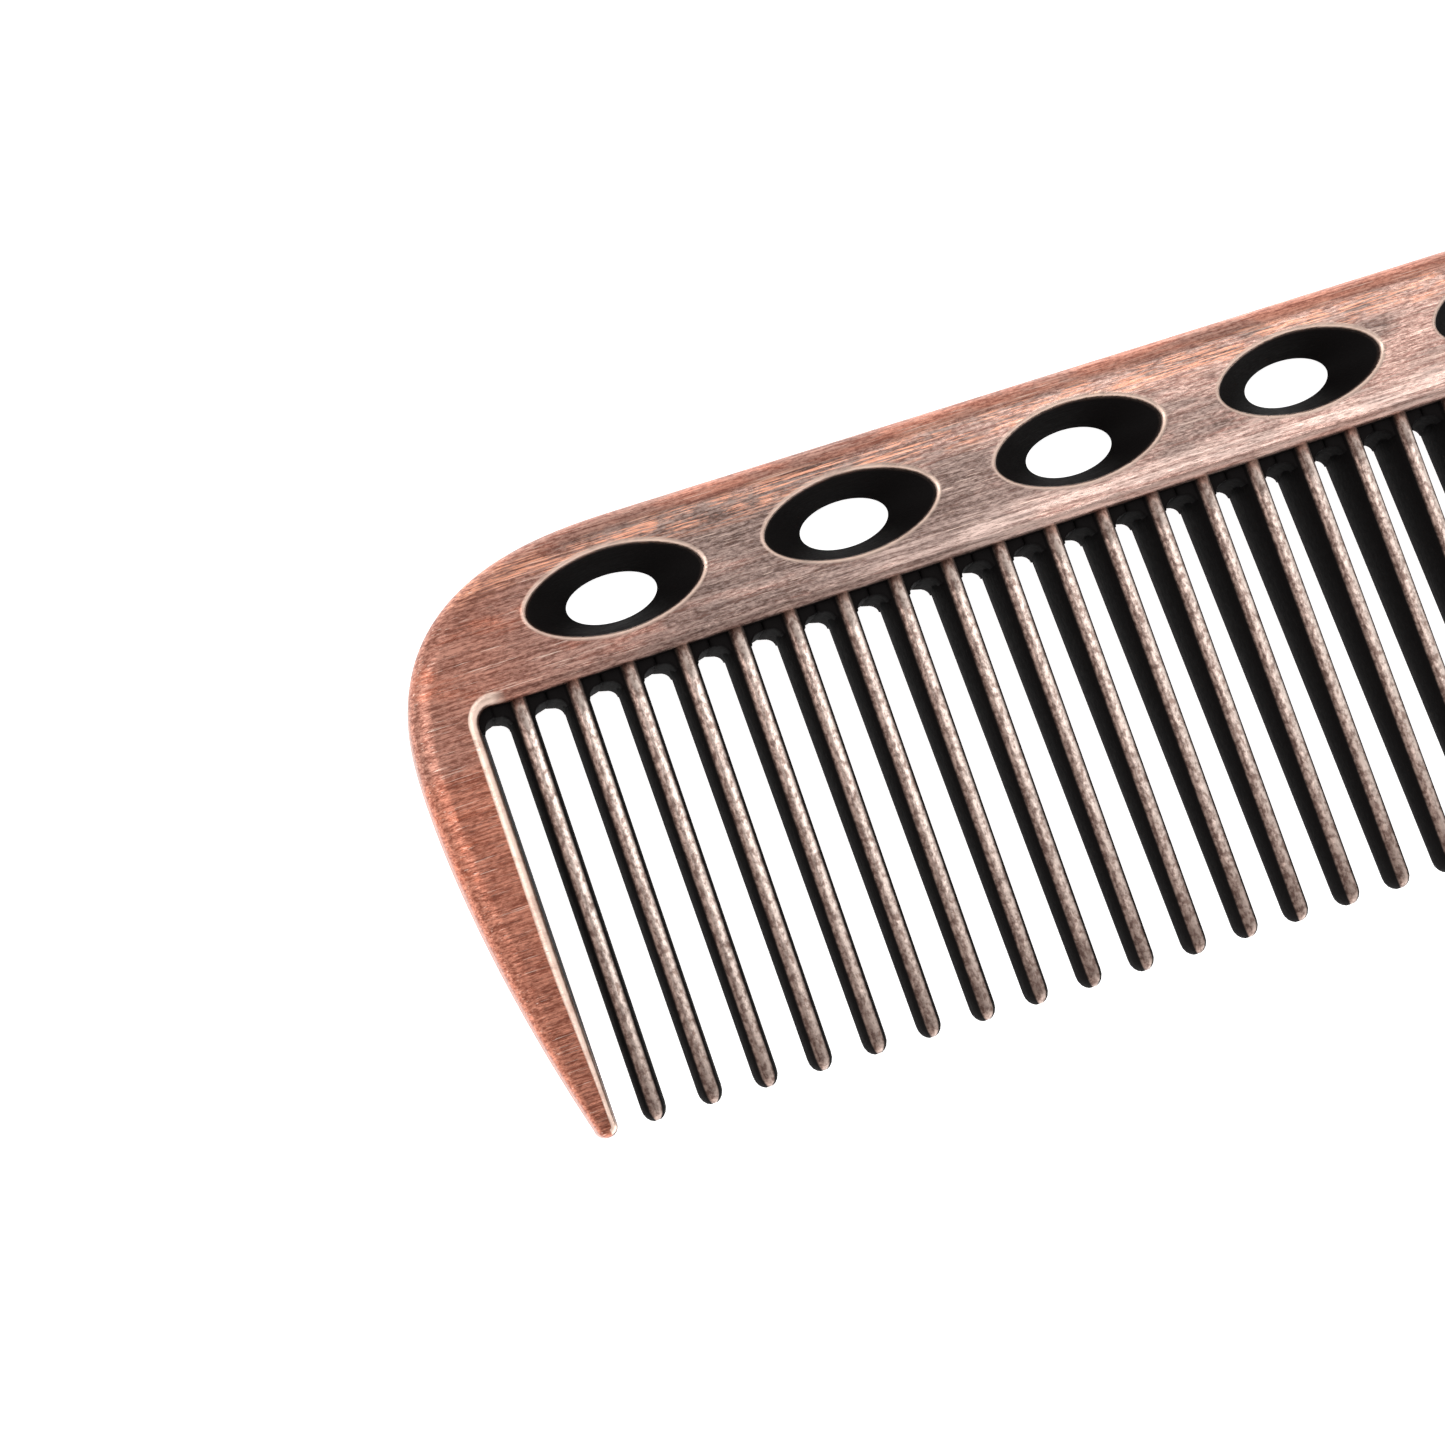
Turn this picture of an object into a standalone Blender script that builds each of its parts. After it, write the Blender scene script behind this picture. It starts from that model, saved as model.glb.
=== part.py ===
"""Barber's comb in cast metal, lying flat on its back face.

+X runs along the spine, +Y from the tooth tips to the spine, +Z up through the thickness. The back face lies
on z = 0. The comb is mirrored left to right about x = 0, and front to back about its middle plane.
"""

import math

import bmesh
import bpy
from mathutils import Matrix, Vector

MM = 0.001

# Driving dimensions, in millimetres.
TOOTH_COUNT = 54
TOOTH_PITCH = 2.92
TOOTH_WIDTH = 1.4
TOOTH_ROOT_THICKNESS = 4.0
TOOTH_TIP_THICKNESS = 1.9
TOOTH_CROWN = 0.66
TOOTH_BEVEL = 0.28
COMB_HEIGHT = 32.1
TIP_BOW = 2.1
END_REACH = 5.94
SPINE_THICKNESS = 4.6
SPINE_HEIGHT = 7.95
SPINE_BEVEL = 0.8
HOLE_COUNT = 12
HOLE_PITCH = 12.9
HOLE_DROP = 4.1
HOLE_RIM = (4.75, 2.2)
HOLE_THROAT = (2.5, 1.25)
SLOT_END_DROP = 8.35
SLOT_END_RISE = 0.5
GUARD_GAP = 1.3
GUARD_TIP_WIDTH = 1.05
GUARD_TIP_THICKNESS = 3.0
# Parting between each tooth and the spine.
HAIRLINE = 0.03
# Cutting pegs stand this much proud of the faces they cut, both ends together.
CUT_OVERRUN = 0.1

# Derived positions.
TOP = COMB_HEIGHT / 2
TIPS = TIP_BOW - COMB_HEIGHT / 2
MIDDLE = SPINE_THICKNESS / 2
FIRST_TOOTH = -(TOOTH_COUNT - 1) / 2 * TOOTH_PITCH
END = FIRST_TOOTH - END_REACH
GUARD_INNER = FIRST_TOOTH - TOOTH_WIDTH / 2 - GUARD_GAP
SPINE_UNDERSIDE = TOP - SPINE_HEIGHT
ROOT = TOP - SLOT_END_DROP - SLOT_END_RISE

# The rounded outer corner is a superellipse that meets the end at WIDEST and the top edge straight on.
WIDEST = TOP - 11.25
CORNER_REACH = 13.95
CORNER_POWER = 2.6
CORNER_STEPS = 14
# Below WIDEST the outer edge leans in towards the guard tooth's tip.
LEAN_AT_TIP = 2.9
LEAN_POWER = 1.75

# The spine reaches this far down into each guard tooth before it is trimmed level at the roots.
EAR = 5.0
INNER_FILLET = 0.6
# The root band runs into the spine and the guard teeth, and below the roots to where it is trimmed.
BAND_INTO_SPINE = 1.5
BAND_INTO_GUARD = 0.5
BAND_TRIM = 1.0

# Fineness of the curves, and the angles (degrees) that count as sharp or as flat.
FILLET_STEPS = 3
HOLE_SEGMENTS = 24
SLOT_SEGMENTS = 8
SPINE_BEVEL_SEGMENTS = 3
TOOTH_BEVEL_SEGMENTS = 2
SHARP_ANGLE = 60.0
FLAT_ANGLE = 1.0
# Points closer than this, in metres, are one point.
WELD_DISTANCE = 1e-6

# Quarter section of a guard tooth as fractions of its half width and half thickness.
GUARD_SECTION = ((1.0, 0.0), (0.88, 0.78), (0.62, 1.0))
GUARD_STEPS = 10
GUARD_THINNING_POWER = 1.5
# Quarter-turn angles, in degrees, of the sections that round off a guard tooth's tip.
GUARD_TIP_TURNS = (40.0, 75.0)


# ---------------------------------------------------------------- materials
def metal(name, colour, roughness):
    """Principled metal for one sub-part."""
    material = bpy.data.materials.new(name)
    material.use_nodes = True
    shader = material.node_tree.nodes["Principled BSDF"]
    shader.inputs["Base Color"].default_value = colour
    shader.inputs["Metallic"].default_value = 1.0
    shader.inputs["Roughness"].default_value = roughness
    return material


def spine_copper():
    return metal("spine_copper", (0.44, 0.20, 0.145, 1.0), 0.42)


def guard_copper(name):
    return metal(name, (0.56, 0.25, 0.16, 1.0), 0.45)


def tooth_bronze(name):
    return metal(name, (0.20, 0.115, 0.09, 1.0), 0.38)


# ---------------------------------------------------------------- scene helpers
def clear():
    """Start from an empty file."""
    for item in list(bpy.data.objects):
        bpy.data.objects.remove(item, do_unlink=True)
    for group in list(bpy.data.collections):
        bpy.data.collections.remove(group)


def collection(name):
    group = bpy.data.collections.new(name)
    bpy.context.scene.collection.children.link(group)
    return group


def place(bm, name, group, at=(0.0, 0.0, 0.0)):
    """Turn a bmesh drawn in millimetres into an object placed at a point."""
    bmesh.ops.recalc_face_normals(bm, faces=bm.faces)
    bmesh.ops.scale(bm, vec=Vector((MM, MM, MM)), verts=bm.verts)
    mesh = bpy.data.meshes.new(name)
    bm.to_mesh(mesh)
    bm.free()
    item = bpy.data.objects.new(name, mesh)
    item.location = Vector(at) * MM
    group.objects.link(item)
    return item


def as_cutter(item):
    item.hide_render = True
    item.display_type = "WIRE"
    return item


def combine(item, tool, operation):
    """Boolean modifier that joins or cuts an object with another."""
    step = item.modifiers.new(tool.name, "BOOLEAN")
    step.operation = operation
    step.solver = "EXACT"
    step.object = tool


# ---------------------------------------------------------------- spine
def outer_edge(y):
    """X of the comb's left outer edge at a height below the top edge."""
    if y > WIDEST:
        up = (y - WIDEST) / (TOP - WIDEST)
        return END + CORNER_REACH * (1 - (1 - up ** CORNER_POWER) ** (1 / CORNER_POWER))
    fall = (WIDEST - y) / (WIDEST - TIPS)
    return END + LEAN_AT_TIP * fall ** LEAN_POWER


def corner():
    """Left outer corner, from the widest point round to the top edge."""
    points = []
    for i in range(CORNER_STEPS + 1):
        a = math.pi / 2 * i / CORNER_STEPS
        out = math.cos(a) ** (2 / CORNER_POWER)
        up = math.sin(a) ** (2 / CORNER_POWER)
        points.append((END + CORNER_REACH * (1 - out), WIDEST + (TOP - WIDEST) * up))
    return points


def inner_fillet():
    """Round inner corner between the spine's underside and the left guard tooth."""
    points = []
    for i in range(FILLET_STEPS + 1):
        a = math.pi / 2 * i / FILLET_STEPS
        x = GUARD_INNER + INNER_FILLET * (1 - math.sin(a))
        y = SPINE_UNDERSIDE - INNER_FILLET * (1 - math.cos(a))
        points.append((x, y))
    return points


def spine_outline():
    """Outline of the spine with an ear reaching down into each guard tooth."""
    low = ROOT - EAR
    halfway = (low + WIDEST) / 2
    ear = [(GUARD_INNER, low), (outer_edge(low), low), (outer_edge(halfway), halfway)]
    left = inner_fillet() + ear + corner()
    return left + [(-x, y) for x, y in reversed(left)]


def plate(name, outline, thickness, group):
    """Flat plate from a 2D curve, made a mesh so that it can be cut."""
    curve = bpy.data.curves.new(name, "CURVE")
    curve.dimensions = "2D"
    curve.fill_mode = "BOTH"
    curve.extrude = thickness / 2 * MM
    spline = curve.splines.new("POLY")
    spline.points.add(len(outline) - 1)
    for point, (x, y) in zip(spline.points, outline):
        point.co = (x * MM, y * MM, 0.0, 1.0)
    spline.use_cyclic_u = True
    drawn = bpy.data.objects.new(name + "_outline", curve)
    drawn.location.z = MIDDLE * MM
    group.objects.link(drawn)
    depsgraph = bpy.context.evaluated_depsgraph_get()
    mesh = bpy.data.meshes.new_from_object(drawn.evaluated_get(depsgraph))
    mesh.name = name
    item = bpy.data.objects.new(name, mesh)
    item.matrix_world = drawn.matrix_world
    group.objects.link(item)
    bpy.data.objects.remove(drawn, do_unlink=True)
    bm = bmesh.new()
    bm.from_mesh(mesh)
    bmesh.ops.remove_doubles(bm, verts=bm.verts, dist=WELD_DISTANCE)
    bmesh.ops.dissolve_limit(bm, angle_limit=math.radians(FLAT_ANGLE), verts=bm.verts, edges=bm.edges)
    bmesh.ops.recalc_face_normals(bm, faces=bm.faces)
    bm.to_mesh(mesh)
    bm.free()
    return item


def waisted_oval(bm, x, mouth, waist, depth, segments):
    """Upright oval peg that narrows from both ends to a waist halfway; mouth and waist are half sizes."""
    turned = Matrix.Translation((x, 0.0, 0.0)) @ Matrix.Rotation(math.pi / segments, 4, "Z")
    peg = bmesh.ops.create_cone(bm, cap_ends=True, segments=segments, radius1=1.0, radius2=1.0, depth=depth,
                                matrix=turned)
    centre = Matrix.Translation((-x, 0.0, 0.0))
    bmesh.ops.scale(bm, vec=(*mouth, 1.0), space=centre, verts=peg["verts"])
    edges = {edge for vert in peg["verts"] for edge in vert.link_edges}
    upright = [edge for edge in edges if abs(edge.verts[0].co.z - edge.verts[1].co.z) > depth / 2]
    cut = bmesh.ops.subdivide_edges(bm, edges=upright, cuts=1)
    waist_ring = [part for part in cut["geom_inner"] if isinstance(part, bmesh.types.BMVert)]
    narrowing = (waist[0] / mouth[0], waist[1] / mouth[1], 1.0)
    bmesh.ops.scale(bm, vec=narrowing, space=centre, verts=waist_ring)


def holes(group):
    """Oval funnels that narrow from both faces to a throat on the middle plane."""
    bm = bmesh.new()
    for i in range(HOLE_COUNT):
        x = (i - (HOLE_COUNT - 1) / 2) * HOLE_PITCH
        waisted_oval(bm, x, HOLE_RIM, HOLE_THROAT, SPINE_THICKNESS + CUT_OVERRUN, HOLE_SEGMENTS)
    return as_cutter(place(bm, "cut_holes", group, (0.0, TOP - HOLE_DROP, MIDDLE)))


def slot_centres():
    """(x, half width) of every slot between teeth, first and last beside the guard teeth."""
    half = (TOOTH_PITCH - TOOTH_WIDTH) / 2
    inner = [(FIRST_TOOTH + (i + 0.5) * TOOTH_PITCH, half) for i in range(TOOTH_COUNT - 1)]
    first = (GUARD_INNER + GUARD_GAP / 2, GUARD_GAP / 2)
    return [first, *inner, (-first[0], first[1])]


def slot_ends(group):
    """Round slot ends that open out towards both faces, like the teeth's own sides."""
    bm = bmesh.new()
    draft = TOOTH_WIDTH / 2 * (1 - TOOTH_CROWN)
    for x, half in slot_centres():
        mouth = (half + draft, SLOT_END_RISE + draft)
        waisted_oval(bm, x, mouth, (half, SLOT_END_RISE), TOOTH_ROOT_THICKNESS + CUT_OVERRUN, SLOT_SEGMENTS)
    return as_cutter(place(bm, "cut_slot_ends", group, (0.0, ROOT, MIDDLE)))


def block(name, group, low, high, width, thickness):
    """Box across the whole comb between two heights."""
    bm = bmesh.new()
    bmesh.ops.create_cube(bm, size=1.0)
    bmesh.ops.scale(bm, vec=(width, high - low, thickness), verts=bm.verts)
    return as_cutter(place(bm, name, group, (0.0, (high + low) / 2, MIDDLE)))


def spine(parts, cutters):
    """Thick bar with rounded edges, a thinner band under it for the tooth roots, and twelve oval holes."""
    body = plate("spine", spine_outline(), SPINE_THICKNESS, parts)
    body.data.materials.append(spine_copper())
    rounding = body.modifiers.new("rounded_edges", "BEVEL")
    rounding.width = SPINE_BEVEL * MM
    rounding.segments = SPINE_BEVEL_SEGMENTS
    rounding.limit_method = "ANGLE"
    rounding.angle_limit = math.radians(SHARP_ANGLE)
    rounding.loop_slide = False
    band_width = 2 * (abs(GUARD_INNER) + BAND_INTO_GUARD)
    band_top = SPINE_UNDERSIDE + BAND_INTO_SPINE
    band = block("root_band", cutters, ROOT - BAND_TRIM, band_top, band_width, TOOTH_ROOT_THICKNESS)
    below = block("cut_below_root", cutters, ROOT - 2 * EAR, ROOT, 3 * abs(END), 2 * SPINE_THICKNESS)
    combine(body, band, "UNION")
    combine(body, slot_ends(cutters), "DIFFERENCE")
    combine(body, holes(cutters), "DIFFERENCE")
    combine(body, below, "DIFFERENCE")


# ---------------------------------------------------------------- teeth
def tooth(name, x, parts):
    """Slim bar, widest halfway through its thickness, thinner towards a rounded tip.

    The row of tips bows out towards the middle of the comb.
    """
    start = ROOT - HAIRLINE
    tip = TIPS - TIP_BOW * (1 - (x / FIRST_TOOTH) ** 2)
    bm = bmesh.new()
    bmesh.ops.create_cube(bm, size=1.0)
    bmesh.ops.scale(bm, vec=(TOOTH_WIDTH * TOOTH_CROWN, start - tip, TOOTH_ROOT_THICKNESS), verts=bm.verts)
    bmesh.ops.translate(bm, vec=(0.0, (start + tip) / 2, 0.0), verts=bm.verts)
    upright = [e for e in bm.edges if abs(e.verts[0].co.z - e.verts[1].co.z) > TOOTH_ROOT_THICKNESS / 2]
    cut = bmesh.ops.subdivide_edges(bm, edges=upright, cuts=1)
    waist = [part for part in cut["geom_inner"] if isinstance(part, bmesh.types.BMVert)]
    bmesh.ops.scale(bm, vec=(1 / TOOTH_CROWN, 1.0, 1.0), verts=waist)
    tip_verts = [v for v in bm.verts if v.co.y < tip + TOOTH_WIDTH]
    bmesh.ops.scale(bm, vec=(1.0, 1.0, TOOTH_TIP_THICKNESS / TOOTH_ROOT_THICKNESS), verts=tip_verts)
    rounded = [e for e in bm.edges if min(v.co.y for v in e.verts) < start - TOOTH_WIDTH]
    bmesh.ops.bevel(bm, geom=rounded, offset=TOOTH_BEVEL, segments=TOOTH_BEVEL_SEGMENTS, affect="EDGES",
                    profile=0.5)
    item = place(bm, name, parts, (x, 0.0, MIDDLE))
    item.data.materials.append(tooth_bronze(name))


def guard_thickness(y):
    """Full spine thickness down to y = 0, then thinning to the tip."""
    fall = max(y / TIPS, 0.0)
    return SPINE_THICKNESS - (SPINE_THICKNESS - GUARD_TIP_THICKNESS) * fall ** GUARD_THINNING_POWER


def guard_section(left, right, y, thickness):
    """Ring across a guard tooth: widest on the middle plane, narrowing to a flat front and back."""
    middle, half, rise = (left + right) / 2, (right - left) / 2, thickness / 2
    quarter = [(half * u, rise * v) for u, v in GUARD_SECTION]
    right_side = [(u, -v) for u, v in reversed(quarter[1:])] + quarter
    ring = right_side + [(-u, v) for u, v in reversed(right_side)]
    return [(middle + u, y, v) for u, v in ring]


def guard_sections():
    """Sections of the left guard tooth from the spine down to its rounded tip."""
    start, shoulder = ROOT - HAIRLINE, TIPS + GUARD_TIP_WIDTH / 2
    tip_inner = END + LEAN_AT_TIP + GUARD_TIP_WIDTH
    rings = []
    for i in range(GUARD_STEPS + 1):
        down = i / GUARD_STEPS
        y = start + (shoulder - start) * down
        inner = GUARD_INNER + (tip_inner - GUARD_INNER) * down
        rings.append(guard_section(outer_edge(y), inner, y, guard_thickness(y)))
    middle = (tip_inner + outer_edge(shoulder)) / 2
    half = (tip_inner - outer_edge(shoulder)) / 2
    last_turn = math.radians(GUARD_TIP_TURNS[-1])
    for turn in GUARD_TIP_TURNS:
        shrink = math.cos(math.radians(turn))
        y = shoulder - (shoulder - TIPS) * math.sin(math.radians(turn)) / math.sin(last_turn)
        thickness = guard_thickness(y) * (1 + shrink) / 2
        rings.append(guard_section(middle - half * shrink, middle + half * shrink, y, thickness))
    return rings


def guard(name, mirrored, parts):
    """Broad end tooth, lofted because its width, lean and thickness all change on the way down."""
    bm = bmesh.new()
    loops = [[bm.verts.new(point) for point in ring] for ring in guard_sections()]
    for upper, lower in zip(loops, loops[1:]):
        for i in range(len(upper)):
            j = (i + 1) % len(upper)
            bm.faces.new((upper[i], upper[j], lower[j], lower[i]))
    bm.faces.new(loops[0])
    bm.faces.new(loops[-1])
    if mirrored:
        bmesh.ops.scale(bm, vec=(-1.0, 1.0, 1.0), verts=bm.verts)
    item = place(bm, name, parts, (0.0, 0.0, MIDDLE))
    item.data.materials.append(guard_copper(name))


def build():
    clear()
    parts = collection("barber_comb")
    cutters = collection("cutters")
    spine(parts, cutters)
    guard("left_guard_tooth", False, parts)
    guard("right_guard_tooth", True, parts)
    for i in range(TOOTH_COUNT):
        tooth(f"tooth_{i + 1:02d}", FIRST_TOOTH + i * TOOTH_PITCH, parts)


build()
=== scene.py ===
"""Looks for the barber's comb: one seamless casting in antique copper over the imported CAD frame.

Lengths are in millimetres unless a comment says otherwise. The spine and guard teeth are drawn as a quarter
and mirrored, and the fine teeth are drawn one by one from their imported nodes.
"""
import math
import random

import bmesh
import bpy
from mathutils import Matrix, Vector
from mathutils.geometry import delaunay_2d_cdt


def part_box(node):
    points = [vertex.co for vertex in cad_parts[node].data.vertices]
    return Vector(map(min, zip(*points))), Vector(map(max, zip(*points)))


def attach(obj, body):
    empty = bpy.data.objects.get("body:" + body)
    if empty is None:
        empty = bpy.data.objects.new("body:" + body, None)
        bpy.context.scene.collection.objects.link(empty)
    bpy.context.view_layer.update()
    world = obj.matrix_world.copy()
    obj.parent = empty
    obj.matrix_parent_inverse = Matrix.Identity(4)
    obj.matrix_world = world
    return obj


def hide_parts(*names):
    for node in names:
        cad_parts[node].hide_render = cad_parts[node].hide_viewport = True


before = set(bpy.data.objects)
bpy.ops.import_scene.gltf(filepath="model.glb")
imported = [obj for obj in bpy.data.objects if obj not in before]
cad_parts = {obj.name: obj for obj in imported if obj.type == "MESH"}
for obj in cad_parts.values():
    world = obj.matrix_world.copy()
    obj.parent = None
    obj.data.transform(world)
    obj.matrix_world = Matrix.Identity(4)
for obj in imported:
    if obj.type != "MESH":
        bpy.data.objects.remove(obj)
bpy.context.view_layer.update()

MM = 0.001
TEETH = sorted(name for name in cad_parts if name.startswith("tooth_"))
GUARDS = ("left_guard_tooth", "right_guard_tooth")


def box_mm(node):
    low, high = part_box(node)
    return low / MM, high / MM


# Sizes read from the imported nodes.
_, SPINE_HIGH = box_mm("spine")
GUARD_LOW, _ = box_mm("left_guard_tooth")
TOOTH_LOW, TOOTH_HIGH = box_mm(TEETH[0])
TOP = SPINE_HIGH.y
MIDDLE = SPINE_HIGH.z / 2
END = GUARD_LOW.x
TIPS = GUARD_LOW.y
FIRST_TOOTH = (TOOTH_LOW.x + TOOTH_HIGH.x) / 2
TOOTH_HALF = (TOOTH_HIGH.x - TOOTH_LOW.x) / 2
TOOTH_RISE = (TOOTH_HIGH.z - TOOTH_LOW.z) / 2
PITCH = -2 * FIRST_TOOTH / (len(TEETH) - 1)

# Outline of the spine and the guard teeth.
UNDERSIDE = TOP - 7.95
SPINE_MIDHEIGHT = TOP - 4.0
WIDEST = TOP - 11.25
CORNER_REACH, CORNER_POWER = 13.95, 2.6
LEAN_AT_TIP, LEAN_POWER = 2.9, 1.75
INNER_FILLET = 0.75
GUARD_INNER = FIRST_TOOTH - 2.0
GUARD_TIP_WIDTH = 1.05
GUARD_TIP_RISE = 1.5
GUARD_THINNING_POWER = 1.5
OUTLINE_STEP = 0.7
FILLET_STEPS, TIP_STEPS, SIDE_STEPS, CORNER_STEPS = 8, 13, 26, 40

# Edges of the frame as (draft, rounding inwards, rounding up).
OUTER_EDGE, OUTER_EDGE_AT_TIP = (0.05, 1.3, 1.0), (0.04, 0.3, 0.55)
INNER_EDGE, INNER_EDGE_AT_TIP = (0.26, 0.5, 0.5), (0.1, 0.3, 0.5)
UNDERSIDE_EDGE = (0.05, 0.6, 0.48)
# The underside's edge takes over from the guard tooth's inner edge along this much of the underside.
EDGE_CHANGE = 1.2
# Outline points up to this far outside GUARD_INNER still belong to the guard tooth's inner side.
SIDE_MARGIN = 0.4
# Places round the quarter turn of a rounded edge, closer together where it meets the flat face.
EDGE_TURNS = (0.0, 0.15, 0.3, 0.45, 0.6, 0.75, 0.87, 0.93, 0.98, 1.0)
# A flat ring, as wide as this share of the rounding, keeps the face's shading level.
FLAT_RING = 0.15
NORMAL_WEIGHT = 80

# Paint over the quarter turn of an edge: the turn where it fades out, then the turn where it is full. The
# first is black oxide, the second worn bare copper, and the third a painted highlight on metal worn smooth.
BLACK_FADE, BARE_FADE, POLISH_HIGHLIGHT_FADE = (0.25, 0.05), (1.0, 0.75), (0.15, 0.4)
# The worn inner edge of the guard tooth, painted bright as a highlight, runs this far round the fillet
# along the underside.
POLISH_HIGHLIGHT_REACH = 0.8

# Flared oval holes; sizes are half widths and half heights.
HOLE_COUNT, HOLE_PITCH, HOLE_DROP = 12, 12.9, 4.1
HOLE_RIM, HOLE_THROAT = (4.72, 2.14), (2.45, 1.25)
HOLE_POWER, THROAT_POWER = 1.86, 2.0
HOLE_LIP = 0.3
HOLE_LIP_DROP = HOLE_LIP * 0.8
HOLE_SEGMENTS, LIP_STEPS = 72, 4
LIP_BLACK = 0.9
# Places on the way from the rim to the throat, closer together at both ends.
WALL_LEVELS = (0.06, 0.3, 0.6, 0.85, 0.96, 1.0)

# Net of points that fills the flat face, and the borders that it keeps clear of.
NET_STEP = 0.9
NET_HOLE_MARGIN = HOLE_LIP + 0.35
OUTER_BORDER, OUTER_BORDER_AT_TIP = 1.5, 0.6
UNDERSIDE_BORDER, GUARD_BORDER, TIP_BORDER = 1.1, 0.9, 3.0
CLOSING_STEPS = 8
SAME_POINT = 1e-5

# Vertices this close together on a mirror plane are one.
SAME_VERTEX = 1e-3

# Fine teeth.
TOOTH_TIP_RISE = 0.95
TOOTH_POWER, TOOTH_DRAFT = 3.4, 0.22
TOOTH_SEGMENTS, TOOTH_STEPS = 32, 9
TOOTH_INTO_SPINE = 0.35
ROOT_WIDENING = 1.07
LEAN_DRAW, TIP_WIDTH_DRAW = (-0.03, 0.03), (0.93, 0.97)
TIP_LENGTH, TIP_POWER, TIP_SMALLEST = 0.8, 2.2, 0.3
TIP_LEVELS = (0.35, 0.65, 0.85, 0.96)
# The crown turns black between these shares of the half thickness, and the painted highlight on its right
# side, towards the key light, starts between these places across the tooth, counted in half widths.
CROWN_FADE, HIGHLIGHT_SIDE_FADE = (0.985, 0.90), (-0.25, 0.25)

# Webs between the teeth, which end each slot in a round.
SLOT_END = TOP - 8.35
SLOT_RISE = 0.55
WEB_POWER = 9.0
WEB_RISE = TOOTH_RISE * 0.8
WEB_NARROW = TOOTH_HALF * 0.95
WEB_INTO_SPINE, WEB_OVERLAP = 0.6, 0.02
WEB_STEPS = 6
# The round of a slot end stops just short of its full quarter.
FLARE_REACH = 0.999
GUARD_GAP = 1.3
# Beside a guard tooth the web is centred this far inside the metal, and this is its narrow half width.
GUARD_ROOT = 0.3

# Camera: lens and sensor, place, and turn about X, Y and Z in degrees.
LENS, SENSOR = 59.5, 36.0
CAMERA_PLACE = (FIRST_TOOTH - 10.24, TOP - 26.45, 2 * MIDDLE + 117.92)
CAMERA_TURN = (9.486, -6.669, -19.392)
NEAREST_SEEN = 5.0

# Colours of the worn copper, the cast teeth, the painted highlights, glints and sheen, and the black in the
# recesses.
ROSY_SHADE, ROSY_LIGHT = (0.29, 0.160, 0.132, 1), (0.70, 0.475, 0.405, 1)
ORANGE_SHADE, ORANGE_LIGHT = (0.34, 0.090, 0.050, 1), (0.80, 0.265, 0.150, 1)
PATINA_SHADE, PATINA_LIGHT = (0.085, 0.062, 0.055, 1), (0.34, 0.255, 0.225, 1)
BRONZE_SHADE, BRONZE_LIGHT = (0.14, 0.085, 0.070, 1), (0.40, 0.28, 0.235, 1)
# Two grain tones of the painted highlight along the teeth's crowns.
CROWN_HIGHLIGHT_DARK, CROWN_HIGHLIGHT_PALE = (0.46, 0.33, 0.28, 1), (0.92, 0.78, 0.70, 1)
# Cream of the painted sheen below the holes.
SHEEN_CREAM = (0.80, 0.60, 0.53, 1)
TICK_BROWN = (0.15, 0.075, 0.058, 1)
PIT_BROWN = (0.14, 0.085, 0.07, 1)
# Orange of the scratches above the holes, painted bright as glints.
GLINT_ORANGE = (0.95, 0.44, 0.29, 1)
# Copper of the painted highlight on worn edges and hole lips.
POLISH_HIGHLIGHT_COPPER = (0.98, 0.74, 0.62, 1)
OXIDE_BLACK = (0.006, 0.005, 0.005, 1)
FLOOR_WHITE = (0.86, 0.86, 0.86, 1)
WHITE = (1.0, 1.0, 1.0, 1.0)
OXIDE_GLOSS = 0.05


# ---------------------------------------------------------------- mesh helpers
def new_piece(name, skin, mirrors=()):
    """Mesh object from a skin, mirrored on request, with its painted attributes."""
    mesh = bpy.data.meshes.new(name)
    mesh.from_pydata([Vector(p) * MM for p in skin.points], [], skin.faces)
    for label, values in skin.paint.items():
        mesh.attributes.new(label, "FLOAT", "POINT").data.foreach_set("value", values)
    bm = bmesh.new()
    bm.from_mesh(mesh)
    for axis in mirrors:
        everything = bm.verts[:] + bm.edges[:] + bm.faces[:]
        bmesh.ops.mirror(bm, geom=everything, merge_dist=SAME_VERTEX * MM, axis=axis)
    bmesh.ops.recalc_face_normals(bm, faces=bm.faces)
    bm.to_mesh(mesh)
    bm.free()
    item = bpy.data.objects.new(name, mesh)
    item.location.z = MIDDLE * MM
    bpy.context.scene.collection.objects.link(item)
    return item


class Skin:
    """Points, faces and painted values gathered before the mesh is made; z = 0 is the middle plane.

    The paint is oxide (black), edge (bare copper of the rounded edges) and a third for metal worn smooth by
    use, painted bright as a highlight along the guard teeth's inner edges, the hole lips and the teeth's
    crowns.
    """

    def __init__(self):
        self.points, self.faces = [], []
        self.paint = {"oxide": [], "edge": [], "rub": []}

    def ring(self, points, **paint):
        """Add points with their paint, one value for all or a list; returns their numbers."""
        start = len(self.points)
        self.points += points
        for label, values in self.paint.items():
            value = paint.get(label, 0.0)
            values += value if isinstance(value, list) else [value] * len(points)
        return list(range(start, len(self.points)))

    def bridge(self, low, high, closed=True):
        """Join two loops of the same length with four-sided faces."""
        last = len(low) if closed else len(low) - 1
        for i in range(last):
            j = (i + 1) % len(low)
            self.faces.append((low[i], low[j], high[j], high[i]))


def smooth(a, b, t):
    """Soft step that is 0 at a and 1 at b."""
    t = min(max((t - a) / (b - a), 0.0), 1.0)
    return t * t * (3 - 2 * t)


def mix(a, b, t):
    return a + (b - a) * t


def blend(a, b, t):
    """Mix of two tuples."""
    return tuple(mix(p, q, t) for p, q in zip(a, b))


def squared(value, power):
    """A circle's sine or cosine turned into that of a superellipse."""
    return math.copysign(abs(value) ** (2 / power), value)


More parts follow.
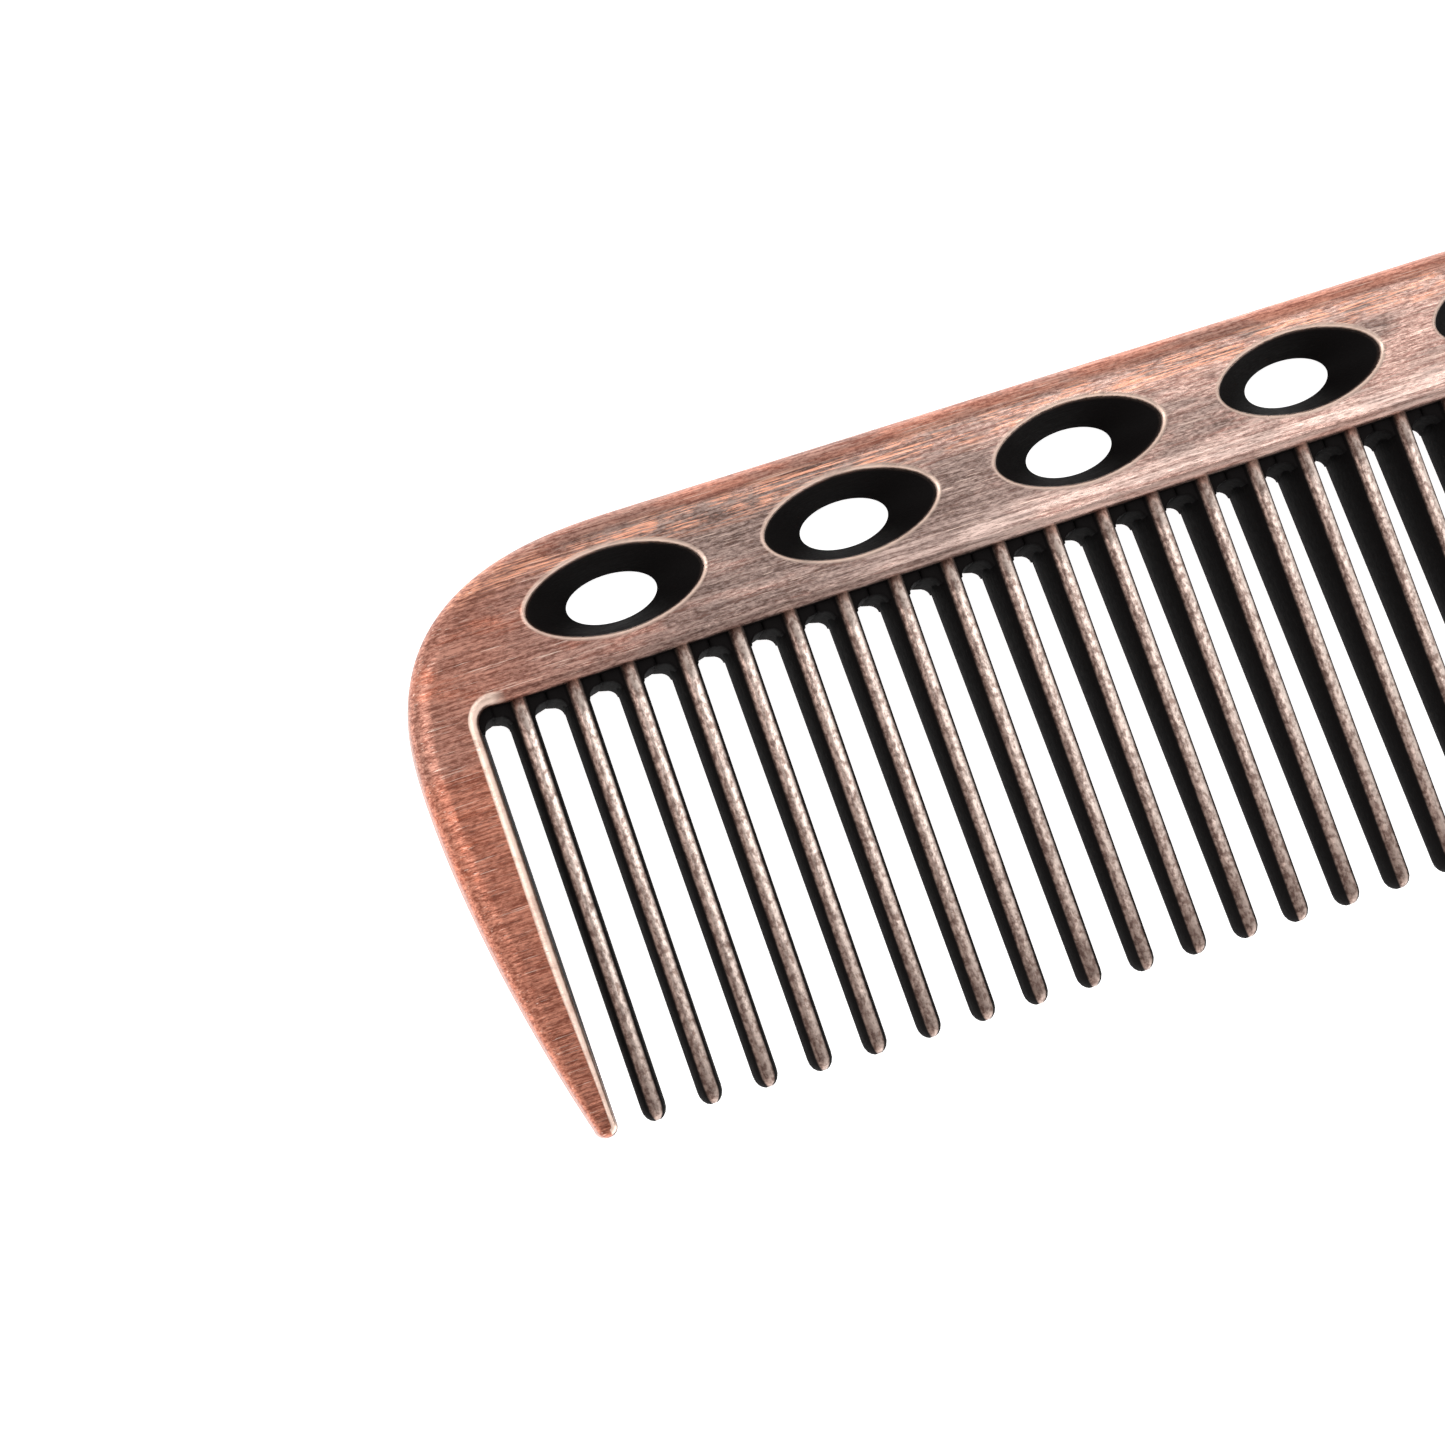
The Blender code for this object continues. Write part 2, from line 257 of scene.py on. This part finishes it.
def spread(a, b):
    """Evenly spaced points from a up to b, without b."""
    count = max(1, round(math.dist(a, b) / OUTLINE_STEP))
    return [(mix(a[0], b[0], i / count), mix(a[1], b[1], i / count)) for i in range(count)]


# ---------------------------------------------------------------- spine and guard teeth
def outer_edge(y):
    """X of the left outer edge at a height below the top edge."""
    if y > WIDEST:
        up = (y - WIDEST) / (TOP - WIDEST)
        return END + CORNER_REACH * (1 - (1 - up ** CORNER_POWER) ** (1 / CORNER_POWER))
    fall = (WIDEST - y) / (WIDEST - TIPS)
    return END + LEAN_AT_TIP * fall ** LEAN_POWER


def fillet():
    """Round inner corner between the underside and the guard tooth."""
    r = INNER_FILLET
    turns = [math.pi / 2 * i / FILLET_STEPS for i in range(FILLET_STEPS)]
    return [(GUARD_INNER + r - r * math.sin(a), UNDERSIDE - r + r * math.cos(a)) for a in turns]


def guard_tip(inner, shoulder):
    """Half round tip of the guard tooth, from its inner side to its outer side."""
    middle = (inner + outer_edge(shoulder)) / 2
    half = (inner - outer_edge(shoulder)) / 2
    turns = [math.pi * i / TIP_STEPS for i in range(TIP_STEPS)]
    return [(middle + half * math.cos(a), shoulder - (shoulder - TIPS) * math.sin(a)) for a in turns]


def corner():
    """Outer corner, from the widest point up to the top edge."""
    points = []
    for i in range(CORNER_STEPS):
        a = math.pi / 2 * i / CORNER_STEPS
        out, up = squared(math.cos(a), CORNER_POWER), squared(math.sin(a), CORNER_POWER)
        points.append((END + CORNER_REACH * (1 - out), mix(WIDEST, TOP, up)))
    return points


def outline():
    """Left half of the frame's outline at its widest, from the middle of the underside round to the top."""
    tip_inner = END + LEAN_AT_TIP + GUARD_TIP_WIDTH
    shoulder = TIPS + GUARD_TIP_WIDTH / 2
    points = spread((0.0, UNDERSIDE), (GUARD_INNER + INNER_FILLET, UNDERSIDE))
    points += fillet()
    points += spread((GUARD_INNER, UNDERSIDE - INNER_FILLET), (tip_inner, shoulder))
    points += guard_tip(tip_inner, shoulder)
    heights = [mix(shoulder, WIDEST, i / SIDE_STEPS) for i in range(SIDE_STEPS)]
    points += [(outer_edge(y), y) for y in heights]
    points += corner()
    points += spread((END + CORNER_REACH, TOP), (0.0, TOP))
    return points + [(0.0, TOP)]


def inward(points):
    """Unit normals pointing into the metal along the outline."""
    normals = []
    for i in range(len(points)):
        a, b = points[max(i - 1, 0)], points[min(i + 1, len(points) - 1)]
        dx, dy = b[0] - a[0], b[1] - a[1]
        size = math.hypot(dx, dy)
        normals.append((dy / size, -dx / size))
    normals[0], normals[-1] = (0.0, 1.0), (0.0, -1.0)
    return normals


def half_rise(y):
    """Half thickness: full down to y = 0, then thinning to the guard tooth's tip."""
    return mix(MIDDLE, GUARD_TIP_RISE, max(y / TIPS, 0.0) ** GUARD_THINNING_POWER)


def near_tip(y):
    """0 down to a quarter of the way from y = 0 to the guard tooth's tip, then up to 1 at the tip."""
    return smooth(0.25, 1.0, y / TIPS)


def on_underside(x, y):
    """Whether an outline point faces the fine teeth."""
    return x > GUARD_INNER - SIDE_MARGIN and y < SPINE_MIDHEIGHT


def edge_sizes(x, y):
    """(draft, rounding inwards, rounding up) of the edge at an outline point."""
    if on_underside(x, y):
        under = smooth(GUARD_INNER, GUARD_INNER + EDGE_CHANGE, x)
        return blend(blend(INNER_EDGE, INNER_EDGE_AT_TIP, near_tip(y)), UNDERSIDE_EDGE, under)
    return blend(OUTER_EDGE, OUTER_EDGE_AT_TIP, near_tip(y))


def edge_wall(skin, edge):
    """Side of the frame, from the middle plane up over its rounded edge; returns the face's loop."""
    normals = inward(edge)
    hidden = [on_underside(x, y) for x, y in edge]
    beside = [under and x < GUARD_INNER + POLISH_HIGHLIGHT_REACH for under, (x, _) in zip(hidden, edge)]
    # Share of the draft, turn round the edge, share of the height, share of the flat ring.
    profile = [(0.0, 0.0, 0.0, 0.0)]
    profile += [(1.0, turn, 1.0, 0.0) for turn in EDGE_TURNS]
    profile += [(1.0, 1.0, 1.0, 1.0)]
    previous = None
    for drafted, turn, up, flat in profile:
        a = math.pi / 2 * turn
        ring = []
        for (x, y), (nx, ny) in zip(edge, normals):
            draft, inset, rise = edge_sizes(x, y)
            reach = draft * drafted + inset * (1 - math.cos(a) + FLAT_RING * flat)
            z = up * (half_rise(y) - rise + rise * math.sin(a))
            ring.append((x + nx * reach if x else 0.0, y + ny * reach, z))
        black = [smooth(*BLACK_FADE, turn) if under else 0.0 for under in hidden]
        bare = [0.0 if under else smooth(*BARE_FADE, turn) for under in hidden]
        # Worn inner edge of the guard tooth, painted bright as a highlight.
        rubbed = [smooth(*POLISH_HIGHLIGHT_FADE, turn) * (1 - flat) if inner else 0.0 for inner in beside]
        loop = skin.ring(ring, oxide=black, edge=bare, rub=rubbed)
        if previous:
            skin.bridge(previous, loop, closed=False)
        previous = loop
    return previous


def inside_hole(point, centre, grow):
    """Whether a point lies inside a hole's rim grown by a margin."""
    u = (point[0] - centre[0]) / (HOLE_RIM[0] + grow)
    v = (point[1] - centre[1]) / (HOLE_RIM[1] + grow)
    return abs(u) ** HOLE_POWER + abs(v) ** HOLE_POWER < 1.0


def oval(centre, size, z, power):
    """Ring of points round a hole."""
    ring = []
    for i in range(HOLE_SEGMENTS):
        a = math.tau * i / HOLE_SEGMENTS
        x = centre[0] + size[0] * squared(math.cos(a), power)
        y = centre[1] + size[1] * squared(math.sin(a), power)
        ring.append((x, y, z))
    return ring


def funnel(skin, centre):
    """Lip, sloping walls and throat of one oval hole; returns the loop that lies on the face."""
    grown = [(HOLE_LIP * (1 + FLAT_RING), 0.0, 0.0, 0.0)]
    for i in range(LIP_STEPS + 1):
        a = math.pi / 2 * i / LIP_STEPS
        grow, drop = HOLE_LIP * (1 - math.sin(a)), HOLE_LIP_DROP * (1 - math.cos(a))
        black = LIP_BLACK if i == LIP_STEPS else 0.0
        # The lip is painted bright round its middle as a highlight on worn metal.
        grown.append((grow, drop, black, math.sin(math.pi * i / LIP_STEPS)))
    loops = []
    for grow, drop, black, rubbed in grown:
        ring = oval(centre, (HOLE_RIM[0] + grow, HOLE_RIM[1] + grow), MIDDLE - drop, HOLE_POWER)
        loops.append(skin.ring(ring, oxide=black, rub=rubbed))
    for down in WALL_LEVELS:
        z = mix(MIDDLE - HOLE_LIP_DROP, 0.0, down)
        ring = oval(centre, blend(HOLE_RIM, HOLE_THROAT, down), z, mix(HOLE_POWER, THROAT_POWER, down))
        loops.append(skin.ring(ring, oxide=1.0))
    for outer, inner in zip(loops, loops[1:]):
        skin.bridge(inner, outer)
    return loops[0]


def face_holds(x, y):
    """Whether a point lies on the flat face, clear of its rounded border."""
    border = mix(OUTER_BORDER, OUTER_BORDER_AT_TIP, near_tip(y))
    if y > TOP - OUTER_BORDER or x < outer_edge(y) + border:
        return False
    if y > UNDERSIDE + UNDERSIDE_BORDER:
        return True
    return x < GUARD_INNER - GUARD_BORDER and y > TIPS + TIP_BORDER


def face_net(centres):
    """Evenly spaced points on the flat face, clear of its border and the holes."""
    points = []
    for i in range(int(-END / NET_STEP) + 1):
        for j in range(int((TOP - TIPS) / NET_STEP) + 1):
            point = (-(i + 0.5) * NET_STEP, TOP - (j + 0.5) * NET_STEP)
            in_hole = any(inside_hole(point, centre, NET_HOLE_MARGIN) for centre in centres)
            if face_holds(*point) and not in_hole:
                points.append(point)
    return points


def fill_face(skin, edge_loop, rims, centres):
    """Flat front of the spine and guard tooth, filled with an even net around the holes."""
    index = list(edge_loop)
    edges = [(i, i + 1) for i in range(len(index) - 1)]
    low, top = skin.points[edge_loop[0]][1], skin.points[edge_loop[-1]][1]
    closing = [(0.0, mix(top, low, i / CLOSING_STEPS)) for i in range(1, CLOSING_STEPS)]
    first = len(index)
    index += skin.ring([(x, y, half_rise(y)) for x, y in closing])
    chain = [first - 1, *range(first, first + len(closing)), 0]
    edges += list(zip(chain, chain[1:]))
    for rim in rims:
        first = len(index)
        index += rim
        edges += [(first + i, first + (i + 1) % len(rim)) for i in range(len(rim))]
    index += skin.ring([(x, y, half_rise(y)) for x, y in face_net(centres)])
    points = [Vector(skin.points[i][:2]) for i in index]
    verts, _, faces, origins, _, _ = delaunay_2d_cdt(points, edges, [], 1, SAME_POINT)
    for face in faces:
        x = sum(verts[i][0] for i in face) / len(face)
        y = sum(verts[i][1] for i in face) / len(face)
        if not any(inside_hole((x, y), centre, HOLE_LIP * (1 + FLAT_RING)) for centre in centres):
            skin.faces.append(tuple(index[origins[i][0]] for i in face))


def frame_body():
    """A quarter of the spine and guard tooth, mirrored across x = 0 and the middle plane."""
    skin = Skin()
    edge_loop = edge_wall(skin, outline())
    centres = [(-(i + 0.5) * HOLE_PITCH, TOP - HOLE_DROP) for i in range(HOLE_COUNT // 2)]
    rims = [funnel(skin, centre) for centre in centres]
    fill_face(skin, edge_loop, rims, centres)
    body = new_piece("comb_frame", skin, mirrors="XZ")
    even = body.modifiers.new("flat_faces_stay_flat", "WEIGHTED_NORMAL")
    even.weight = NORMAL_WEIGHT
    return body


# ---------------------------------------------------------------- fine teeth
def section(x, y, half, rise, power, draft):
    """Ring across a tooth: widest halfway through its thickness, with drafted sides and a rounded crown."""
    ring = []
    for i in range(TOOTH_SEGMENTS):
        a = math.tau * i / TOOTH_SEGMENTS
        lift = squared(math.sin(a), power)
        out = squared(math.cos(a), power) * (1 - draft * abs(lift))
        ring.append((x + half * out, y, rise * lift))
    return ring


def bar(skin, stations, power, draft, crowned):
    """Closed black bar through (x, y, half width, half thickness) stations.

    A crowned bar is bare metal along its crowns, with a painted highlight to the right of their middle.
    """
    previous = None
    for x, y, half, rise in stations:
        ring = section(x, y, half, rise, power, draft)
        black, rubbed = 1.0, 0.0
        if crowned:
            black = [smooth(*CROWN_FADE, abs(z) / rise) for _, _, z in ring]
            # Painted highlight: the bare crown is brightest to the right of its middle, towards the key
            # light.
            side = [smooth(*HIGHLIGHT_SIDE_FADE, (px - x) / half) for px, _, _ in ring]
            rubbed = [(1 - dark) * bright for dark, bright in zip(black, side)]
        loop = skin.ring(ring, oxide=black, rub=rubbed)
        if previous:
            skin.bridge(loop, previous)
        else:
            skin.faces.append(tuple(loop))
        previous = loop
    skin.faces.append(tuple(reversed(previous)))


def web(skin, x, narrow, wide):
    """Thin web that joins a tooth to its neighbours and makes half of the round slot end on each side."""
    starts = (UNDERSIDE + WEB_INTO_SPINE, SLOT_END + WEB_OVERLAP)
    stations = [(x, y, wide, WEB_RISE) for y in starts]
    for i in range(1, WEB_STEPS + 1):
        up = 1 - i / WEB_STEPS
        flare = 1 - math.sqrt(1 - (up * FLARE_REACH) ** 2)
        stations.append((x, mix(SLOT_END - SLOT_RISE, SLOT_END, up), mix(narrow, wide, flare), WEB_RISE))
    bar(skin, stations, WEB_POWER, 0.0, crowned=False)


def tooth(skin, node, draw):
    """One tooth: thick at its root, thinning steadily to a round tip."""
    low, high = box_mm(node)
    x, tip = (low.x + high.x) / 2, low.y
    start, shoulder = UNDERSIDE + TOOTH_INTO_SPINE, tip + TIP_LENGTH
    lean, tip_width = draw.uniform(*LEAN_DRAW), draw.uniform(*TIP_WIDTH_DRAW)
    stations = []
    for i in range(TOOTH_STEPS + 1):
        down = i / TOOTH_STEPS
        half = TOOTH_HALF * mix(ROOT_WIDENING, tip_width, down)
        rise = mix(TOOTH_RISE, TOOTH_TIP_RISE, down)
        stations.append((x + lean * down, mix(start, shoulder, down), half, rise))
    for down in TIP_LEVELS:
        shrink = max(math.sqrt(1 - down ** TIP_POWER), TIP_SMALLEST)
        half, rise = TOOTH_HALF * tip_width * shrink, TOOTH_TIP_RISE * shrink
        stations.append((x + lean, mix(shoulder, tip, down), half, rise))
    bar(skin, stations, TOOTH_POWER, TOOTH_DRAFT, crowned=True)


def teeth():
    """All the fine teeth, with the webs between them and beside the guard teeth."""
    skin = Skin()
    draw = random.Random(7)
    for node in TEETH:
        tooth(skin, node, draw)
    for i in range(len(TEETH)):
        web(skin, FIRST_TOOTH + i * PITCH, WEB_NARROW, PITCH / 2 + WEB_OVERLAP)
    for side in (-1, 1):
        web(skin, side * (GUARD_ROOT - GUARD_INNER), GUARD_ROOT, GUARD_ROOT + GUARD_GAP / 2 + WEB_OVERLAP)
    return new_piece("comb_teeth", skin)


# ---------------------------------------------------------------- materials
class Graph:
    """Small helper for building a node material."""

    def __init__(self, name):
        self.material = bpy.data.materials.new(name)
        self.material.use_nodes = True
        self.nodes, self.links = self.material.node_tree.nodes, self.material.node_tree.links
        self.shader = self.nodes["Principled BSDF"]

    def put(self, socket, value):
        """Link a socket to another node's output, or give it a fixed value."""
        if isinstance(value, bpy.types.NodeSocket):
            self.links.new(value, socket)
        else:
            socket.default_value = value

    def add(self, kind, **inputs):
        node = self.nodes.new(kind)
        for key, value in inputs.items():
            self.put(node.inputs[key], value)
        return node

    def finish(self, **inputs):
        """Fill the shader's sockets, named with _ for spaces, and return the material."""
        for key, value in inputs.items():
            self.put(self.shader.inputs[key.replace("_", " ")], value)
        return self.material

    def metal(self, tone, oxide, rough, relief):
        """Metal that turns into matt black oxide; returns the material."""
        metallic = self.ramp(oxide, 0.7, 1.0, 1.0, 0.0)
        return self.finish(Base_Color=tone, Metallic=metallic, Roughness=rough, Normal=relief,
                           Specular_IOR_Level=OXIDE_GLOSS)

    def scaled(self, scale):
        """Object coordinates in millimetres, stretched by a scale."""
        place = self.nodes.new("ShaderNodeTexCoord").outputs["Object"]
        mapping = self.add("ShaderNodeMapping", Vector=place)
        mapping.inputs["Scale"].default_value = [s / MM for s in scale]
        return mapping.outputs["Vector"]

    def along(self, axis):
        """Object coordinate along one axis, in millimetres."""
        return self.add("ShaderNodeSeparateXYZ", Vector=self.scaled((1.0, 1.0, 1.0))).outputs[axis]

    def noise(self, scale, detail=3.0, roughness=0.6, distortion=0.0):
        """Noise with the given number of features per millimetre along X, Y and Z."""
        node = self.add("ShaderNodeTexNoise", Vector=self.scaled(scale), Scale=1.0, Detail=detail,
                        Roughness=roughness, Distortion=distortion)
        return node.outputs["Fac"]

    def math(self, operation, a, b=0.0):
        node = self.nodes.new("ShaderNodeMath")
        node.operation = operation
        self.put(node.inputs[0], a)
        self.put(node.inputs[1], b)
        return node.outputs[0]

    def times(self, a, b):
        return self.math("MULTIPLY", a, b)

    def plus(self, a, b):
        return self.math("ADD", a, b)

    def either(self, a, b):
        return self.math("MAXIMUM", a, b)

    def ramp(self, value, low, high, to_low=0.0, to_high=1.0):
        """Straight ramp from one value at low to another at high."""
        node = self.add("ShaderNodeMapRange", Value=value)
        for key, number in (("From Min", low), ("From Max", high), ("To Min", to_low), ("To Max", to_high)):
            node.inputs[key].default_value = number
        return node.outputs["Result"]

    def mix(self, factor, a, b):
        node = self.nodes.new("ShaderNodeMix")
        node.data_type = "RGBA"
        self.put(node.inputs["Factor"], factor)
        self.put(node.inputs["A"], a)
        self.put(node.inputs["B"], b)
        return node.outputs["Result"]

    def painted(self, name):
        node = self.nodes.new("ShaderNodeAttribute")
        node.attribute_name = name
        return node.outputs["Fac"]

    def bump(self, height, strength, depth, normal=None):
        """Relief of a given depth in millimetres, over another relief if one is given."""
        node = self.add("ShaderNodeBump", Height=height, Strength=strength, Distance=depth * MM)
        if normal is not None:
            self.links.new(normal, node.inputs["Normal"])
        return node.outputs["Normal"]


class CopperMarks:
    """Noises and masks that the layers of the copper share."""

    def __init__(self, g):
        self.long_streaks = g.noise((0.18, 4.5, 3.0))
        self.streaks = g.noise((0.5, 9.0, 5.0), roughness=0.65)
        self.grain = g.noise((3.2, 8.0, 6.0), detail=2.0, roughness=0.7)
        self.fine = g.noise((1.6, 16.0, 8.0), roughness=0.7)
        self.scratches = g.noise((0.3, 12.0, 6.0), roughness=0.7)
        self.blotch = g.noise((0.5, 1.3, 0.8), detail=4.0, roughness=0.65)
        self.cloud = g.noise((0.10, 0.35, 0.3), distortion=0.5)
        self.far_out = g.math("ABSOLUTE", g.along("X"))
        self.height = g.along("Y")
        self.edge = g.painted("edge")
        on_guard = g.ramp(self.height, TOP - 7.0, TOP - 11.0)
        near_end = g.ramp(self.far_out, -END - 17.0, -END - 5.0, 0.0, 0.8)
        self.bare = g.either(g.either(on_guard, near_end), g.times(self.edge, 0.6))
        coarse = g.plus(g.times(self.streaks, 0.42), g.times(self.long_streaks, 0.22))
        self.brushed = g.ramp(g.plus(coarse, g.times(self.grain, 0.36)), 0.43, 0.58)


def copper_metal(g, marks):
    """Rosy brushed copper on the spine, more orange where the plating is bare."""
    rosy = g.mix(marks.brushed, ROSY_SHADE, ROSY_LIGHT)
    orange = g.mix(marks.brushed, ORANGE_SHADE, ORANGE_LIGHT)
    return g.mix(marks.bare, rosy, orange)


def patina(g, marks):
    """Mask of the brown patches: strongest between the outer holes and at the guard teeth's tips."""
    patches = g.plus(g.times(marks.cloud, 0.7), g.times(marks.blotch, 0.3))
    between_outer_holes = g.ramp(marks.far_out, 46.0, 60.0, 0.0, 0.13)
    at_tips = g.ramp(marks.height, -2.0, TIPS, 0.0, 0.12)
    patches = g.plus(g.plus(patches, g.times(marks.streaks, 0.35)), between_outer_holes)
    patches = g.ramp(g.plus(patches, at_tips), 0.65, 0.77)
    return g.times(patches, g.ramp(marks.bare, 0.0, 1.0, 0.8, 0.35))


def painted_sheen_strip(g, marks):
    """Mask of the painted sheen: cream streaks below the holes, away from the comb's ends, standing in for
    the key light's reflection.
    """
    below_holes = g.ramp(marks.height, TOP - 5.8, TOP - 6.8)
    low_strip = g.times(below_holes, g.ramp(marks.far_out, 62.0, 52.0))
    painted_sheen = g.times(low_strip, g.ramp(marks.long_streaks, 0.44, 0.56, 0.15, 0.75))
    return g.times(painted_sheen, g.ramp(marks.bare, 0.0, 0.5, 1.0, 0.0))


def scratch_glints(g, marks):
    """Mask of the bright orange scratches along the row above the holes, painted brighter as glints."""
    row = g.times(g.ramp(marks.height, TOP - 2.9, TOP - 2.0), g.ramp(marks.height, TOP - 0.8, TOP - 1.3))
    flecks = g.times(row, g.ramp(marks.blotch, 0.42, 0.54))
    return g.times(g.ramp(marks.scratches, 0.49, 0.56, 0.0, 0.95), flecks)


def rubbed_metal(g, marks):
    """Mask of the worn edges and hole lips, painted bright as highlights, and the odd bright scratch."""
    polish_highlight_spots = g.times(g.painted("rub"), g.ramp(marks.blotch, 0.38, 0.52, 0.7, 1.0))
    return g.either(polish_highlight_spots, g.ramp(marks.scratches, 0.62, 0.68, 0.0, 0.6))


def copper():
    """Antique copper brushed along X: streaks and patina on the flats, a painted sheen below the holes,
    painted glints on the scratches above them, bare worn edges with painted highlights on the inner edges
    and hole lips, black holes.
    """
    g = Graph("antique_copper")
    marks = CopperMarks(g)
    patches = patina(g, marks)
    ticks = g.times(g.ramp(marks.fine, 0.54, 0.65), g.ramp(marks.edge, 0.0, 1.0, 0.65, 0.1))
    oxide = g.painted("oxide")
    tone = copper_metal(g, marks)
    tone = g.mix(patches, tone, g.mix(marks.brushed, PATINA_SHADE, PATINA_LIGHT))
    # Painted sheen: cream streaks below the holes.
    tone = g.mix(painted_sheen_strip(g, marks), tone, SHEEN_CREAM)
    tone = g.mix(ticks, tone, TICK_BROWN)
    # Scratches above the holes, painted bright as glints.
    tone = g.mix(scratch_glints(g, marks), tone, GLINT_ORANGE)
    # Painted highlights on the worn edges and hole lips, with bright scratches.
    tone = g.mix(rubbed_metal(g, marks), tone, POLISH_HIGHLIGHT_COPPER)
    tone = g.mix(oxide, tone, OXIDE_BLACK)
    rough = g.plus(g.ramp(marks.fine, 0.4, 0.6, 0.25, 0.36), g.times(patches, 0.08))
    rough = g.plus(rough, g.times(oxide, 0.3))
    relief = g.bump(marks.streaks, 0.35, 0.05, g.bump(marks.blotch, 0.3, 0.10))
    relief = g.bump(marks.fine, 0.25, 0.03, relief)
    return g.metal(tone, oxide, rough, relief)


def tooth_metal():
    """Cast, granular dark bronze with a painted cream highlight along the crown, weaker towards the tips,
    and black down the sides.
    """
    g = Graph("cast_bronze")
    grain = g.noise((4.5, 3.0, 4.5))
    pits = g.noise((1.8, 0.8, 1.8), detail=4.0, roughness=0.7)
    # Painted highlight along the crowns, weaker towards the tips.
    rubbed = g.times(g.painted("rub"), g.ramp(g.along("Y"), TIPS, -5.0, 0.35, 1.0))
    oxide = g.painted("oxide")
    bronze = g.mix(g.ramp(grain, 0.40, 0.60), BRONZE_SHADE, BRONZE_LIGHT)
    crown = g.mix(g.ramp(grain, 0.36, 0.54), CROWN_HIGHLIGHT_DARK, CROWN_HIGHLIGHT_PALE)
    tone = g.mix(rubbed, bronze, crown)
    tone = g.mix(g.ramp(pits, 0.55, 0.68, 0.0, 0.6), tone, PIT_BROWN)
    tone = g.mix(oxide, tone, OXIDE_BLACK)
    rough = g.plus(g.ramp(grain, 0.4, 0.6, 0.36, 0.28), g.times(oxide, 0.4))
    relief = g.bump(grain, 0.3, 0.04, g.bump(pits, 0.4, 0.08))
    return g.metal(tone, oxide, rough, relief)


def pale_floor():
    g = Graph("pale_floor")
    return g.finish(Base_Color=FLOOR_WHITE, Roughness=0.9, Emission_Color=WHITE, Emission_Strength=0.95)


# ---------------------------------------------------------------- stage
def floor():
    bpy.ops.mesh.primitive_plane_add(size=6.0, location=(0.0, 0.0, 0.0))
    item = bpy.context.object
    item.name = "floor"
    item.data.materials.append(pale_floor())


def softbox(name, place, size, power):
    """Rectangular light aimed at the part of the comb in view; place and size in metres, power in watts."""
    aim = Vector((FIRST_TOOTH * 0.6 * MM, 0.0, 0.0))
    light = bpy.data.lights.new(name, "AREA")
    light.shape = "RECTANGLE"
    light.size, light.size_y = size
    light.energy = power
    item = bpy.data.objects.new(name, light)
    item.location = place
    item.rotation_euler = (aim - Vector(place)).to_track_quat("-Z", "Y").to_euler()
    bpy.context.scene.collection.objects.link(item)


def studio_world():
    """Even light from all round, brighter near the horizon than overhead."""
    world = bpy.data.worlds.new("studio")
    world.use_nodes = True
    nodes, links = world.node_tree.nodes, world.node_tree.links
    direction = nodes.new("ShaderNodeSeparateXYZ")
    links.new(nodes.new("ShaderNodeTexCoord").outputs["Generated"], direction.inputs["Vector"])
    brightness = nodes.new("ShaderNodeMapRange")
    links.new(direction.outputs["Z"], brightness.inputs["Value"])
    for key, number in (("From Min", 0.55), ("From Max", 1.0), ("To Min", 0.95), ("To Max", 0.33)):
        brightness.inputs[key].default_value = number
    links.new(brightness.outputs["Result"], nodes["Background"].inputs["Strength"])
    nodes["Background"].inputs["Color"].default_value = (1.0, 0.99, 0.98, 1.0)
    bpy.context.scene.world = world


def lights():
    """Key light for the sheen along the spine, and a rim light for the outer edge's crest."""
    softbox("key", (0.10, 0.04, 0.40), (0.12, 0.30), 0.30)
    softbox("rim", (-0.27, 0.10, 0.32), (0.15, 0.30), 0.36)
    studio_world()


def camera():
    """Close above the left half, tilted so that the spine climbs to the right."""
    data = bpy.data.cameras.new("camera")
    data.sensor_width = SENSOR
    data.lens = LENS
    data.clip_start = NEAREST_SEEN * MM
    item = bpy.data.objects.new("camera", data)
    item.location = Vector(CAMERA_PLACE) * MM
    item.rotation_euler = [math.radians(angle) for angle in CAMERA_TURN]
    bpy.context.scene.collection.objects.link(item)
    bpy.context.scene.camera = item


def dress(item, material, nodes):
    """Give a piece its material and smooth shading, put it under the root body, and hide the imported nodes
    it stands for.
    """
    item.data.materials.append(material)
    item.data.shade_smooth()
    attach(item, "root")
    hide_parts(*nodes)


dress(frame_body(), copper(), ["spine", *GUARDS])
dress(teeth(), tooth_metal(), TEETH)
floor()
lights()
camera()
bpy.context.scene.view_settings.view_transform = "Standard"
